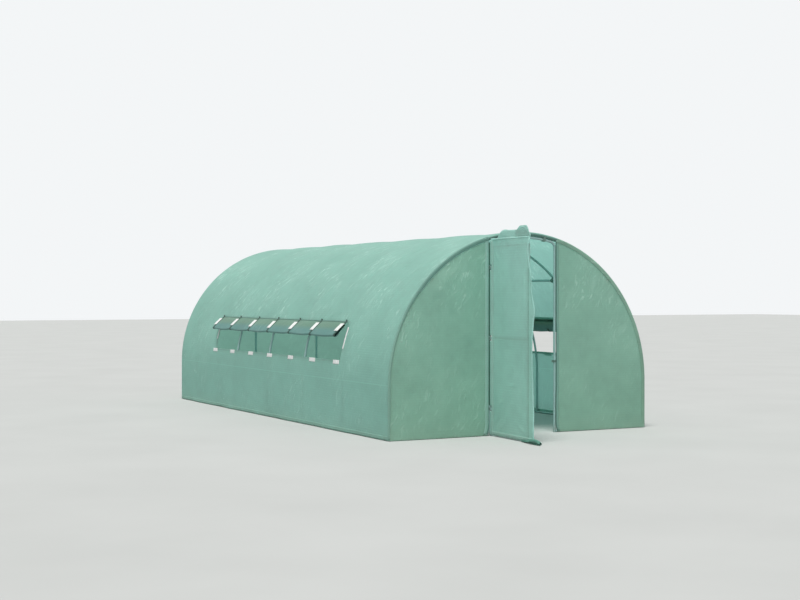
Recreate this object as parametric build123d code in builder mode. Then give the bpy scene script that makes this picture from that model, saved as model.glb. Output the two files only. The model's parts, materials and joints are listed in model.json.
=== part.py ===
from build123d import *

import os
from math import asin, atan2, cos, degrees, radians, sin, sqrt

# Polytunnel greenhouse: a hooped steel tube frame under a sewn fabric cover, with a
# long window under a folded-up flap in each side and a hinged door leaf in one end.
# Millimetres, +Z up. The doorway end faces -Y, and +X is on the right seen from there.
# The origin is on the ground, in the middle of the whole object's box with the door
# leaf standing open as it is stored.

# Tunnel
tunnel_length = 6000
cover_radius = 1500
leg_height = 500
cover_thickness = 4
end_cover_thickness = 4
clearance = 0.3

# Frame tubes
hoop_tube_d = 25
hoop_count = 7
purlin_tube_d = 25
side_purlin_angle = 45
rail_tube_d = 25
post_tube_d = 25

# Cross clamps where a purlin passes under a hoop
clamp_wall = 4
clamp_overhang = 10

# Doorway
post_spacing = 760
header_drop = 38
header_bend_radius = 60
header_socket = 20
header_clamp_x = 250
header_clamp_length = 28
end_cover_gap_to_post = 7.5
end_cover_corner_height = 330
end_cover_corner_cut = 80

# Rear end
rear_post_spacing = 900

# Windows, heights above the ground and distances from the doorway end
window_sill_z = 715
window_head_z = 1100
window_start = 1100
window_rear_margin = 1300

# Window flaps, folded up and outwards over each window
flap_thickness = 6
flap_seam = 30
flap_reach = 128
flap_hang = 150
flap_end_margin = 15

# Hook-and-loop patches under each sill and strips beside each window
patch_count = 7
patch_length = 150
patch_height = 42
patch_thickness = 2
patch_front_inset = 90
patch_rear_overhang = 30
strip_width = 28
strip_above_sill = 114
strip_below_head = 53
strip_margin = 12

# Door hinges
hinge_forward = 12
hinge_end_margin = 225
hinge_count = 3
pin_d = 8
pin_clearance = 0.3
eye_wall = 4
eye_height = 20
bracket_plate = 5
bracket_plate_width = 13
collar_wall = 4
collar_height = 26
arm_width = 8

# Door leaf, measured from the hinge line along the leaf
rest_opening = 93
leaf_cover_gap = 5
leaf_tube_d = 22
leaf_hinge_stile = 35
leaf_free_gap = 60
leaf_bottom_z = 25
leaf_head_gap = 37
leaf_middle_rail_z = 960
cloth_thickness = 3
cloth_overlap_hinge = 10.5
cloth_overlap_top = 20
cloth_overlap_bottom = 115
cloth_flare_top_z = 1640
cloth_flare_end_z = 1340
cloth_bottom_z = 15
cloth_head_drop = 6
bunch_from_edge = 115
bunch_half_width = 122
bunch_rise = 26
bunch_half_height = 60

# Loose tail of cloth at the leaf's free bottom corner
tail_overlap = 230
tail_beyond = 147
tail_tip_z = 6
tail_height = 65
tail_thickness = 9

# Door catch on the right post
catch_z = 700
catch_height = 22
catch_reach = 14
catch_plate = 5
catch_hole_d = 5

# The leaf stands open in the stored pose, so it sets how far the object reaches forward.
opening = radians(rest_opening)
leaf_free_stile = post_spacing - leaf_free_gap
cloth_start = leaf_hinge_stile - cloth_overlap_hinge
cloth_end_top = leaf_free_stile + cloth_overlap_top
cloth_end_bottom = leaf_free_stile + cloth_overlap_bottom
tail_reach = cloth_end_bottom + tail_beyond
cloth_back = hinge_forward - leaf_cover_gap
tail_front = cloth_back - tail_thickness
leaf_reach = hinge_forward + tail_reach * sin(opening) - tail_front * cos(opening)
y_front = (leaf_reach - tunnel_length) / 2
y_rear = y_front + tunnel_length

cover_inner = cover_radius - cover_thickness
end_cover_radius = cover_inner - clearance
hoop_r = cover_inner - clearance - hoop_tube_d / 2
hoop_inner = hoop_r - hoop_tube_d / 2
purlin_r = hoop_inner - clearance - purlin_tube_d / 2
header_r = hoop_r - header_drop
front_hoop_y = y_front + end_cover_thickness + clearance + hoop_tube_d / 2
rear_hoop_y = y_rear - end_cover_thickness - clearance - hoop_tube_d / 2
front_post_y = y_front + end_cover_thickness + clearance + post_tube_d / 2
rear_post_y = y_rear - end_cover_thickness - clearance - post_tube_d / 2
front_rail_y = y_front + end_cover_thickness + clearance + rail_tube_d / 2
rear_rail_y = y_rear - end_cover_thickness - clearance - rail_tube_d / 2
side_rail_x = cover_inner - clearance - rail_tube_d / 2
hoop_pitch = (rear_hoop_y - front_hoop_y) / (hoop_count - 1)
hoop_ys = [front_hoop_y + i * hoop_pitch for i in range(hoop_count)]
post_x = post_spacing / 2
header_corner_z = leg_height + sqrt(header_r**2 - post_x**2)
leaf_top_z = header_corner_z - leaf_head_gap
window_end = tunnel_length - window_rear_margin
purlin_angles = {"left": 180 - side_purlin_angle, "ridge": 90, "right": side_purlin_angle}

hinge_x = -post_x
hinge_y = y_front - hinge_forward
leaf_tube_w = cloth_back + clearance + leaf_tube_d / 2
along = Vector(cos(opening), -sin(opening), 0)
inward = Vector(sin(opening), cos(opening), 0)
up = Vector(0, 0, 1)

sill_angle = degrees(asin((window_sill_z - leg_height) / cover_radius))
head_angle = degrees(asin((window_head_z - leg_height) / cover_radius))


def across(y):
    """Plane across the tunnel at y: its x is +X, its y is +Z and it faces -Y."""
    return Plane.XZ.offset(-y)


def on_arc(radius, angle):
    """Point of the tunnel's section at an angle above +X, on a plane across the tunnel."""
    return (radius * cos(radians(angle)), leg_height + radius * sin(radians(angle)))


def on_side(side, angle):
    """The same angle on the right side (+1) or mirrored to the left side (-1)."""
    return angle if side > 0 else 180 - angle


def radial(angle):
    """Direction straight out of the tunnel's section at an angle above +X."""
    return Vector(cos(radians(angle)), 0, sin(radians(angle)))


def leaf_point(u, w, z=0):
    """Point of the door leaf: u along it from the hinge line, w behind that line."""
    return Vector(hinge_x, hinge_y, 0) + along * u + inward * w + up * z


def write(part, name):
    part.label = name
    export_step(part, f"parts/{name}.step")


def make_tube(name, start, direction, length, diameter):
    """A straight tube as a solid bar."""
    with BuildPart() as run:
        with BuildSketch(Plane(origin=start, z_dir=direction)):
            Circle(diameter / 2)
        extrude(amount=length)
    write(run.part, name)


def make_hoop(name, y):
    """A hoop: two straight legs and a half circle, in one vertical plane."""
    with BuildPart() as hoop:
        with BuildLine(across(y)) as path:
            Line((-hoop_r, 0), (-hoop_r, leg_height))
            arch = CenterArc((0, leg_height), hoop_r, 180, -180)
            Line(arch @ 1, (hoop_r, 0))
        with BuildSketch(Plane(origin=(-hoop_r, y, 0), z_dir=up)):
            Circle(hoop_tube_d / 2)
        sweep(path=path.wires()[0])
    write(hoop.part, name)


def make_purlin_clamps():
    """Saddles that hold each purlin under each hoop, open towards the cover.

    The ridge has none at the front hoop, where the door header takes its place.
    """
    half_length = hoop_tube_d / 2 + clearance + clamp_overhang
    width = purlin_tube_d + 2 * (clearance + clamp_wall)
    low_r = purlin_r - purlin_tube_d / 2 - clearance - clamp_wall
    with BuildPart() as clamps:
        for y in hoop_ys:
            back = hoop_tube_d / 2 if y == hoop_ys[0] else half_length
            ahead = hoop_tube_d / 2 if y == hoop_ys[-1] else half_length
            for place, angle in purlin_angles.items():
                if place == "ridge" and y == hoop_ys[0]:
                    continue
                x, z = on_arc(low_r, angle)
                with BuildSketch(Plane(origin=(x, y, z), x_dir=(0, 1, 0), z_dir=radial(angle))):
                    with Locations(((ahead - back) / 2, 0)):
                        Rectangle(ahead + back, width)
                extrude(amount=hoop_r - low_r)
        for angle in purlin_angles.values():
            with BuildSketch(across(y_rear)):
                with Locations(on_arc(purlin_r, angle)):
                    Circle(purlin_tube_d / 2 + clearance)
            extrude(amount=tunnel_length, mode=Mode.SUBTRACT)
        for y in hoop_ys:
            with BuildSketch(Plane(origin=(hoop_r, y, leg_height), z_dir=up)):
                Circle(hoop_tube_d / 2 + clearance)
            revolve(axis=Axis((0, y, leg_height), (0, -1, 0)), revolution_arc=180, mode=Mode.SUBTRACT)
    write(clamps.part, "purlin_clamps")


def make_side_rail(name, side):
    """Ground rail of one long side: a length between each two hoop legs."""
    gap = hoop_tube_d / 2 + clearance
    with BuildPart() as rail:
        for y in hoop_ys[:-1]:
            start = (side * side_rail_x, y + gap, rail_tube_d / 2)
            with BuildSketch(Plane(origin=start, z_dir=(0, 1, 0))):
                Circle(rail_tube_d / 2)
            extrude(amount=hoop_pitch - 2 * gap)
    write(rail.part, name)


def make_front_rails():
    """Ground rails of the doorway end, from each corner leg to the door post."""
    gap = clearance + post_tube_d / 2
    length = hoop_r - hoop_tube_d / 2 - clearance - post_x - gap
    with BuildPart() as rails:
        for side in (-1, 1):
            start = (side * (post_x + gap), front_rail_y, rail_tube_d / 2)
            with BuildSketch(Plane(origin=start, z_dir=(side, 0, 0))):
                Circle(rail_tube_d / 2)
            extrude(amount=length)
    write(rails.part, "front_ground_rails")


def make_rear_posts():
    """Two posts that stand on the rear rail and reach up to the rear hoop."""
    with BuildPart() as posts:
        with BuildSketch(Plane.XY.offset(rail_tube_d + clearance)):
            with Locations((-rear_post_spacing / 2, rear_post_y), (rear_post_spacing / 2, rear_post_y)):
                Circle(post_tube_d / 2)
        extrude(amount=leg_height + cover_radius)
        with BuildSketch(across(y_rear)):
            with Locations((0, leg_height)):
                Circle(hoop_inner - clearance)
            with Locations((0, leg_height / 2)):
                Rectangle(2 * (hoop_inner - clearance), leg_height)
        extrude(amount=tunnel_length, mode=Mode.INTERSECT)
    write(posts.part, "rear_posts")


def make_door_frame():
    """Two door posts and the arched header with its bent corners that sits on them."""
    post_top = header_corner_z - header_bend_radius - header_socket
    for name, side in (("left_door_post", -1), ("right_door_post", 1)):
        make_tube(name, (side * post_x, front_post_y, 0), up, post_top, post_tube_d)
    with BuildPart() as header:
        with BuildLine(across(front_post_y)) as path:
            Line((-post_x, post_top), (-post_x, header_corner_z))
            RadiusArc((-post_x, header_corner_z), (post_x, header_corner_z), header_r)
            Line((post_x, header_corner_z), (post_x, post_top))
            fillet(path.vertices().group_by(Axis.Z)[-1], header_bend_radius)
        with BuildSketch(Plane(origin=(-post_x, front_post_y, post_top), z_dir=up)):
            Circle(post_tube_d / 2)
        sweep(path=path.wires()[0])
    write(header.part, "door_header")


def make_header_clamps():
    """Two plates with a bore for each tube that hang the header from the front hoop.

    The bores are straight, which the tubes are too over so short a length.
    """
    angle = degrees(asin(header_clamp_x / header_r))
    inner = header_r - post_tube_d / 2 - clearance - clamp_wall
    depth = max(hoop_tube_d, post_tube_d) + 2 * (clearance + clamp_wall)
    bores = (
        (header_r, front_post_y, post_tube_d),
        (hoop_r, front_hoop_y, hoop_tube_d),
    )
    with BuildPart() as clamps:
        for clamp_angle in (90 - angle, 90 + angle):
            x, z = on_arc(inner, clamp_angle)
            seat = Plane(origin=(x, front_post_y, z), x_dir=(0, 1, 0), z_dir=radial(clamp_angle))
            with BuildSketch(seat):
                Rectangle(depth, header_clamp_length)
            extrude(amount=hoop_r - inner)
            for radius, y, tube_d in bores:
                x, z = on_arc(radius, clamp_angle)
                with BuildSketch(Plane(origin=(x, y, z), z_dir=radial(clamp_angle + 90))):
                    Circle(tube_d / 2 + clearance)
                extrude(amount=header_clamp_length, both=True, mode=Mode.SUBTRACT)
    write(clamps.part, "header_clamps")


def make_cover_strip(name, side, start_angle, end_angle, y_low, y_high):
    """Strip of the curved cover between two angles of the tunnel's section."""
    first = on_side(side, start_angle)
    sweep_angle = side * (end_angle - start_angle)
    with BuildPart() as strip:
        with BuildSketch(across(y_high)):
            with BuildLine():
                outer = CenterArc((0, leg_height), cover_radius, first, sweep_angle)
                inner = CenterArc((0, leg_height), cover_inner, first, sweep_angle)
                Line(outer @ 0, inner @ 0)
                Line(outer @ 1, inner @ 1)
            make_face()
        extrude(amount=y_high - y_low)
    write(strip.part, name)


def make_lower_wall(name, side):
    """Side of the cover from the ground to the window sill, straight and then curved."""
    first = on_side(side, 0)
    with BuildPart() as wall:
        with BuildSketch(across(y_rear)):
            with BuildLine():
                outer = CenterArc((0, leg_height), cover_radius, first, side * sill_angle)
                inner = CenterArc((0, leg_height), cover_inner, first, side * sill_angle)
                Line(outer @ 1, inner @ 1)
                Polyline(outer @ 0, (side * cover_radius, 0), (side * cover_inner, 0), inner @ 0)
            make_face()
        extrude(amount=tunnel_length)
    write(wall.part, name)


def make_front_cover(name, side):
    """Panel of the doorway end beside the door, cut away at its lower inner corner."""
    inner_x = post_x + post_tube_d / 2 + end_cover_gap_to_post
    top = leg_height + sqrt(end_cover_radius**2 - inner_x**2)
    corner = (side * (inner_x + end_cover_corner_cut), 0)
    corner_bow = end_cover_corner_cut / 4
    with BuildPart() as panel:
        with BuildSketch(across(y_front + end_cover_thickness)):
            with BuildLine():
                Line((side * inner_x, top), (side * inner_x, end_cover_corner_height))
                SagittaArc((side * inner_x, end_cover_corner_height), corner, side * corner_bow)
                Polyline(corner, (side * end_cover_radius, 0), (side * end_cover_radius, leg_height))
                RadiusArc(
                    (side * end_cover_radius, leg_height),
                    (side * inner_x, top),
                    -side * end_cover_radius,
                )
            make_face()
        extrude(amount=end_cover_thickness)
    write(panel.part, name)


def make_rear_cover():
    """Plain panel that closes the rear end."""
    with BuildPart() as panel:
        with BuildSketch(across(y_rear)):
            with BuildLine():
                arch = CenterArc((0, leg_height), end_cover_radius, 0, 180)
                Polyline(arch @ 1, (-end_cover_radius, 0), (end_cover_radius, 0), arch @ 0)
            make_face()
        extrude(amount=end_cover_thickness)
    write(panel.part, "rear_cover")


def make_window_flap(name, side):
    """Window flap folded double: sewn on above the window and standing out as an awning."""
    seam_angle = degrees(flap_seam / cover_radius)
    lift = clearance + flap_thickness
    head = on_side(side, head_angle)
    seam = on_side(side, head_angle + seam_angle)
    head_x, head_z = on_arc(cover_radius + clearance, head)
    rim_x, rim_z = on_arc(cover_radius + lift, head)
    edge = (side * flap_reach, -flap_hang)
    with BuildPart() as flap:
        with BuildSketch(across(y_front + window_end + flap_end_margin)):
            with BuildLine():
                Polyline(
                    on_arc(cover_radius + clearance, seam),
                    (head_x, head_z),
                    (head_x + edge[0], head_z + edge[1]),
                    (rim_x + edge[0], rim_z + edge[1]),
                    (rim_x, rim_z),
                    on_arc(cover_radius + lift, seam),
                    close=True,
                )
            make_face()
        extrude(amount=window_end - window_start + 2 * flap_end_margin)
    write(flap.part, name)


def make_window_fasteners(name, side):
    """Patches in a row under the window sill and one strip beside each end of the window."""
    base = cover_radius + clearance
    low_angle = sill_angle - degrees(patch_height / cover_radius)
    strip_ends = (window_sill_z + strip_above_sill, window_head_z - strip_below_head)
    strip_angles = [degrees(asin((z - leg_height) / cover_radius)) for z in strip_ends]
    patch_first = window_start + patch_front_inset
    patch_pitch = (window_end + patch_rear_overhang - patch_first) / (patch_count - 1)
    patches = [patch_first + i * patch_pitch for i in range(patch_count)]
    strips = [
        window_start - strip_margin - strip_width / 2,
        window_end + strip_margin + strip_width / 2,
    ]
    rows = [(y, patch_length, low_angle, sill_angle) for y in patches]
    rows += [(y, strip_width, *strip_angles) for y in strips]
    with BuildPart() as fasteners:
        for y, width, start_angle, end_angle in rows:
            first = on_side(side, start_angle)
            turn = side * (end_angle - start_angle)
            with BuildSketch(across(y_front + y + width / 2)):
                with BuildLine():
                    outer = CenterArc((0, leg_height), base + patch_thickness, first, turn)
                    inner = CenterArc((0, leg_height), base, first, turn)
                    Line(outer @ 0, inner @ 0)
                    Line(outer @ 1, inner @ 1)
                make_face()
            extrude(amount=width)
    write(fasteners.part, name)


def hinge_heights():
    """Heights of the hinge plates, the same distance in from both ends of the leaf."""
    low = leaf_bottom_z + hinge_end_margin
    pitch = (leaf_top_z - hinge_end_margin - low) / (hinge_count - 1)
    return [low + i * pitch for i in range(hinge_count)]


def make_hinge_brackets():
    """Collars on the left door post, each with a plate and an upright pin in front of it."""
    post_back = front_post_y - hinge_y
    collar_r = post_tube_d / 2 + clearance + collar_wall
    pin_plate_r = pin_d / 2 + eye_wall
    with BuildPart() as brackets:
        for z in hinge_heights():
            with BuildSketch(Plane(origin=(hinge_x, hinge_y, z))):
                with Locations((0, post_back)):
                    Circle(collar_r)
            extrude(amount=collar_height)
            with BuildSketch(Plane(origin=(hinge_x, hinge_y, z))):
                Circle(pin_plate_r)
                with Locations((0, post_back / 2)):
                    Rectangle(bracket_plate_width, post_back)
            extrude(amount=bracket_plate)
            with BuildSketch(Plane(origin=(hinge_x, hinge_y, z))):
                with Locations((0, post_back)):
                    Circle(post_tube_d / 2 + clearance)
            extrude(amount=collar_height, mode=Mode.SUBTRACT)
            with BuildSketch(Plane(origin=(hinge_x, hinge_y, z + bracket_plate))):
                Circle(pin_d / 2)
            extrude(amount=clearance + eye_height)
    write(brackets.part, "hinge_brackets")


def make_hinge_stile():
    """Stile of the door leaf beside the hinges, with an arm and an eye at each hinge."""
    eye_r = pin_d / 2 + eye_wall
    stile_at = leaf_point(leaf_hinge_stile, leaf_tube_w)
    reach = Vector(leaf_hinge_stile, leaf_tube_w)
    arm_angle = degrees(atan2(leaf_tube_w, leaf_hinge_stile))
    with BuildPart() as stile:
        with BuildSketch(Plane(origin=stile_at + up * leaf_bottom_z, z_dir=up)):
            Circle(leaf_tube_d / 2)
        extrude(amount=leaf_top_z - leaf_bottom_z)
        for z in hinge_heights():
            eye_z = z + bracket_plate + clearance
            with BuildSketch(Plane(origin=leaf_point(0, 0, eye_z), x_dir=along, z_dir=up)):
                Circle(eye_r)
                with Locations(Location(reach / 2, (0, 0, arm_angle))):
                    Rectangle(reach.length, arm_width)
                Circle(pin_d / 2 + pin_clearance, mode=Mode.SUBTRACT)
            extrude(amount=eye_height)
    write(stile.part, "door_hinge_stile")


def make_leaf_rails():
    """Three rails between the door leaf's stiles."""
    gap = leaf_tube_d / 2 + clearance
    span = leaf_free_stile - leaf_hinge_stile - 2 * gap
    heights = {
        "door_top_rail": leaf_top_z - leaf_tube_d / 2,
        "door_middle_rail": leaf_middle_rail_z,
        "door_bottom_rail": leaf_bottom_z + leaf_tube_d / 2,
    }
    for name, z in heights.items():
        start = leaf_point(leaf_hinge_stile + gap, leaf_tube_w, z)
        make_tube(name, start, along, span, leaf_tube_d)


def leaf_face(w):
    """Plane of the door leaf: x along it, y up and facing the side its cloth shows on."""
    return Plane(origin=leaf_point(0, w), x_dir=along, z_dir=-inward)


def make_leaf_cloth():
    """Cloth of the door leaf: its head follows the hoop, with a bunched hump near the free edge.

    Its loose free edge stands further out below the flare, where it laps over the post.
    """
    head_r = cover_radius - cloth_head_drop
    axis_u = post_x
    head_start = leg_height + sqrt(head_r**2 - (cloth_start - axis_u) ** 2)
    head_end = leg_height + sqrt(head_r**2 - (cloth_end_top - axis_u) ** 2)
    bunch_z = leg_height + cover_radius + bunch_rise - bunch_half_height
    with BuildPart() as cloth:
        with BuildSketch(leaf_face(cloth_back)):
            with BuildLine():
                RadiusArc((cloth_start, head_start), (cloth_end_top, head_end), head_r)
                Polyline(
                    (cloth_end_top, head_end),
                    (cloth_end_top, cloth_flare_top_z),
                    (cloth_end_bottom, cloth_flare_end_z),
                    (cloth_end_bottom, cloth_bottom_z),
                    (cloth_start, cloth_bottom_z),
                    (cloth_start, head_start),
                )
            make_face()
            with Locations((cloth_end_top - bunch_from_edge, bunch_z)):
                Ellipse(bunch_half_width, bunch_half_height)
        extrude(amount=cloth_thickness)
    write(cloth.part, "door_cloth")


def make_leaf_tail():
    """Loose end of cloth that trails from the leaf's free bottom corner."""
    tail_start = cloth_end_bottom - tail_overlap
    with BuildPart() as tail:
        with BuildSketch(leaf_face(cloth_back)):
            with BuildLine():
                Polyline(
                    (tail_start, tail_tip_z),
                    (tail_reach, tail_tip_z),
                    (cloth_end_bottom + clearance, cloth_bottom_z + tail_height),
                    (cloth_end_bottom + clearance, cloth_bottom_z - clearance),
                    (tail_start, cloth_bottom_z - clearance),
                    close=True,
                )
            make_face()
        extrude(amount=tail_thickness)
    write(tail.part, "door_cloth_tail")


def make_door_catch():
    """Collar on the right door post with a small lug that takes the door's catch."""
    collar_r = post_tube_d / 2 + clearance + collar_wall
    lug_x = post_x - collar_r - catch_reach / 2
    with BuildPart() as catch:
        with BuildSketch(Plane.XY.offset(catch_z)):
            with Locations((post_x, front_post_y)):
                Circle(collar_r)
            with Locations((post_x - collar_r / 2 - catch_reach / 2, front_post_y)):
                Rectangle(collar_r + catch_reach, catch_plate)
            with Locations((post_x, front_post_y)):
                Circle(post_tube_d / 2 + clearance, mode=Mode.SUBTRACT)
        extrude(amount=catch_height)
        with BuildSketch(across(front_post_y + catch_plate / 2)):
            with Locations((lug_x, catch_z + catch_height / 2)):
                Circle(catch_hole_d / 2)
        extrude(amount=catch_plate, mode=Mode.SUBTRACT)
    write(catch.part, "door_catch")


os.makedirs("parts", exist_ok=True)

for number, hoop_y in enumerate(hoop_ys, start=1):
    make_hoop(f"hoop_{number}", hoop_y)

purlin_starts = {
    "left": front_hoop_y - hoop_tube_d / 2,
    "ridge": front_post_y + post_tube_d / 2 + clearance,
    "right": front_hoop_y - hoop_tube_d / 2,
}
for place, start_y in purlin_starts.items():
    purlin_x, purlin_z = on_arc(purlin_r, purlin_angles[place])
    purlin_length = rear_hoop_y + hoop_tube_d / 2 - start_y
    make_tube(f"{place}_purlin", (purlin_x, start_y, purlin_z), (0, 1, 0), purlin_length, purlin_tube_d)
make_purlin_clamps()

make_side_rail("left_ground_rail", -1)
make_side_rail("right_ground_rail", 1)
make_front_rails()
rear_rail_half = hoop_r - hoop_tube_d / 2 - clearance
rear_rail_start = (-rear_rail_half, rear_rail_y, rail_tube_d / 2)
make_tube("rear_ground_rail", rear_rail_start, (1, 0, 0), 2 * rear_rail_half, rail_tube_d)
make_rear_posts()

make_door_frame()
make_header_clamps()
make_hinge_brackets()
make_door_catch()

shoulder_angle = (head_angle + 90) / 2
for side_name, side_sign in (("left", -1), ("right", 1)):
    make_lower_wall(f"{side_name}_lower_wall", side_sign)
    beside = (side_sign, sill_angle, head_angle)
    make_cover_strip(f"{side_name}_front_wall", *beside, y_front, y_front + window_start)
    make_cover_strip(f"{side_name}_rear_wall", *beside, y_front + window_end, y_rear)
    make_cover_strip(f"{side_name}_shoulder", side_sign, head_angle, shoulder_angle, y_front, y_rear)
    make_cover_strip(f"{side_name}_roof", side_sign, shoulder_angle, 90, y_front, y_rear)
    make_front_cover(f"{side_name}_front_cover", side_sign)
    make_window_flap(f"{side_name}_window_flap", side_sign)
    make_window_fasteners(f"{side_name}_window_fasteners", side_sign)
make_rear_cover()

make_hinge_stile()
make_tube(
    "door_free_stile",
    leaf_point(leaf_free_stile, leaf_tube_w, leaf_bottom_z),
    up,
    leaf_top_z - leaf_bottom_z,
    leaf_tube_d,
)
make_leaf_rails()
make_leaf_cloth()
make_leaf_tail()
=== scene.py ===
import json
import math

import bpy
import numpy as np
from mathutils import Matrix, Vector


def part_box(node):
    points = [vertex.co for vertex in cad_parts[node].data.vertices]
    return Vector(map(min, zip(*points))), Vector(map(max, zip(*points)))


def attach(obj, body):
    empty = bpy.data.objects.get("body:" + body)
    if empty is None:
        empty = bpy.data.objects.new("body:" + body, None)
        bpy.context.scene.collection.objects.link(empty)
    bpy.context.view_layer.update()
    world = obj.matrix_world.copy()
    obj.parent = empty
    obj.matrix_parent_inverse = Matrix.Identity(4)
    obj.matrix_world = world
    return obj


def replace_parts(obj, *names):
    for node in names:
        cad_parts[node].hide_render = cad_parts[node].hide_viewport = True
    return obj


# A polytunnel greenhouse dressed over its frame. Metres, +Z up, the doorway end at -Y.
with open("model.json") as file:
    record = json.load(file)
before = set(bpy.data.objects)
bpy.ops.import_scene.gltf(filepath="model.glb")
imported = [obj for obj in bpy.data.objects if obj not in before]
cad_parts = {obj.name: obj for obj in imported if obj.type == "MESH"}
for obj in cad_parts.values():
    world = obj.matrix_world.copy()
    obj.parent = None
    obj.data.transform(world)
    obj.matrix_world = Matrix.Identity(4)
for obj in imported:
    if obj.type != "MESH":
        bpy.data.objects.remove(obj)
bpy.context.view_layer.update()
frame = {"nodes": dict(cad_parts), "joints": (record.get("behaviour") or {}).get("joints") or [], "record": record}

X, Y, Z = 0, 1, 2


def box_middle(node, axis):
    """Middle of a node's box along an axis."""
    low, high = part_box(node)
    return (low[axis] + high[axis]) / 2


def box_half(node, axis):
    """Half the size of a node's box along an axis."""
    low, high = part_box(node)
    return (high[axis] - low[axis]) / 2


# Tunnel sizes, read from the frame
front_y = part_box("left_roof")[0].y
rear_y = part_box("left_roof")[1].y
radius = -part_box("left_lower_wall")[0].x
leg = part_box("left_roof")[1].z - radius
sill_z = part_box("left_lower_wall")[1].z
head_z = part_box("left_front_wall")[1].z
window_front_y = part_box("left_front_wall")[1].y
window_rear_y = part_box("left_rear_wall")[0].y
hoop_ys = [box_middle(f"hoop_{n}", Y) for n in range(1, 8)]
hoop_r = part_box("hoop_1")[1].x - box_half("hoop_1", Y)
roll_r = radius - hoop_r
bay = hoop_ys[1] - hoop_ys[0]
post_x = box_middle("right_door_post", X)
post_y = box_middle("right_door_post", Y)
post_r = box_half("right_door_post", X)
doorway_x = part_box("right_front_cover")[0].x
sides = {"left": -1, "right": 1}

# The cover's section runs from the left ground edge over the ridge to the right one
section_length = 2 * leg + math.pi * radius
ridge_s = section_length / 2


def s_at(z):
    """Place along the section's left half at a height on the arch."""
    return leg + radius * math.asin((z - leg) / radius)


sill_s = s_at(sill_z)
head_s = s_at(head_z)

# Door leaf, from its joint and its tubes
joint = frame["joints"][0]
hinge_x, hinge_y = joint["pos_m"][:2]
opening = math.radians(joint["range_deg"][1])
leaf_along = np.array([math.cos(opening), -math.sin(opening), 0.0])
leaf_inward = np.array([math.sin(opening), math.cos(opening), 0.0])


def from_hinge(node):
    """Middle of a node's box, level and measured from the hinge line."""
    return np.array([box_middle(node, X) - hinge_x, box_middle(node, Y) - hinge_y, 0.0])


leaf_tube_r = box_half("door_free_stile", X)
leaf_tube_w = float(from_hinge("door_free_stile") @ leaf_inward)
free_stile_u = float(from_hinge("door_free_stile") @ leaf_along)
hinge_stile_u = 2 * float(from_hinge("door_bottom_rail") @ leaf_along) - free_stile_u
leaf_top_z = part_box("door_free_stile")[1].z
leaf_rail_zs = [box_middle(f"door_{place}_rail", Z) for place in ("bottom", "middle", "top")]
collar_height = 0.026
collar_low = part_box("hinge_brackets")[0].z
collar_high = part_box("hinge_brackets")[1].z - collar_height
collars = [collar_low, (collar_low + collar_high) / 2, collar_high]

# Camera of the photograph: its place and its bearing from +Y
camera_place = (-7.35905, front_y - 11.40426, 1.37734)
camera_yaw = 0.48316
camera_pitch = -0.00391
camera_lens = 61.56
camera_sensor = 36
camera_reach = 400


def add_object(name, data):
    """A new object with its data, linked into the scene."""
    made = bpy.data.objects.new(name, data)
    bpy.context.scene.collection.objects.link(made)
    return made


def make_camera():
    data = bpy.data.cameras.new("camera")
    data.lens = camera_lens
    data.sensor_width = camera_sensor
    data.clip_end = camera_reach
    camera = add_object("camera", data)
    camera.location = camera_place
    camera.rotation_euler = (math.pi / 2 + camera_pitch, 0, -camera_yaw)
    bpy.context.scene.camera = camera


make_camera()


# Mesh helpers
def samples(stops, step):
    """Values from the first stop to the last, evenly spaced between stops, at most step apart."""
    runs = [
        np.linspace(a, b, max(1, math.ceil(abs(b - a) / step - 1e-6)) + 1)[:-1]
        for a, b in zip(stops, stops[1:])
    ]
    return np.concatenate(runs + [[stops[-1]]])


def smooth(x, low, high):
    """0 below low, 1 above high and an even curve between."""
    t = np.clip((x - low) / (high - low), 0, 1)
    return t * t * (3 - 2 * t)


ripple_waves = 9


def ripple(a, b, seed, wavelength):
    """Even noise from -1 to 1 over two coordinates, as a sum of waves in seeded directions."""
    rng = np.random.default_rng(seed)
    total = 0
    for _ in range(ripple_waves):
        turn, phase = rng.uniform(0, 2 * math.pi, 2)
        k = 2 * math.pi / (wavelength * rng.uniform(0.6, 1.7))
        total = total + np.sin(k * (a * math.cos(turn) + b * math.sin(turn)) + phase)
    return total / math.sqrt(ripple_waves) * 0.7


def through(x, stops):
    """Smooth curve through a few (place, value) stops."""
    places, values = np.array(stops, float).T
    slopes = np.gradient(values, places)
    x = np.clip(x, places[0], places[-1])
    i = np.clip(np.searchsorted(places, x) - 1, 0, len(places) - 2)
    span = places[i + 1] - places[i]
    t = (x - places[i]) / span
    rise = values[i] * (2 * t**3 - 3 * t**2 + 1) + values[i + 1] * (3 * t**2 - 2 * t**3)
    return rise + span * (slopes[i] * (t**3 - 2 * t**2 + t) + slopes[i + 1] * (t**3 - t**2))


def creased(a, b, creases):
    """Sum of short straight folds: each has a place, a tilt, a length, a width and a height."""
    total = np.zeros(np.broadcast(a, b).shape)
    for at_a, at_b, tilt, length, width, height in creases:
        da, db = a - at_a, b - at_b
        lengthwise = da * math.cos(tilt) + db * math.sin(tilt)
        across = db * math.cos(tilt) - da * math.sin(tilt)
        total = total + height * np.exp(-(lengthwise / length) ** 2 - (across / width) ** 2)
    return total


def stacked(*coordinates):
    """Grid of points or of cloth coordinates, from coordinates that broadcast."""
    return np.stack(np.broadcast_arrays(*coordinates), axis=-1)


def grid(points, uv, keep=None, wrap=False, flip=False):
    """One grid of points with its cloth coordinates, as make_piece takes it.

    keep says which cells stay, wrap joins the last column to the first and flip turns the faces over.
    """
    if keep is None:
        keep = np.ones((uv.shape[0] - 1, uv.shape[1] - 1), bool)
    order = slice(None, None, -1 if flip else 1)
    return points[:, order], uv[:, order], keep[:, order], wrap


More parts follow.
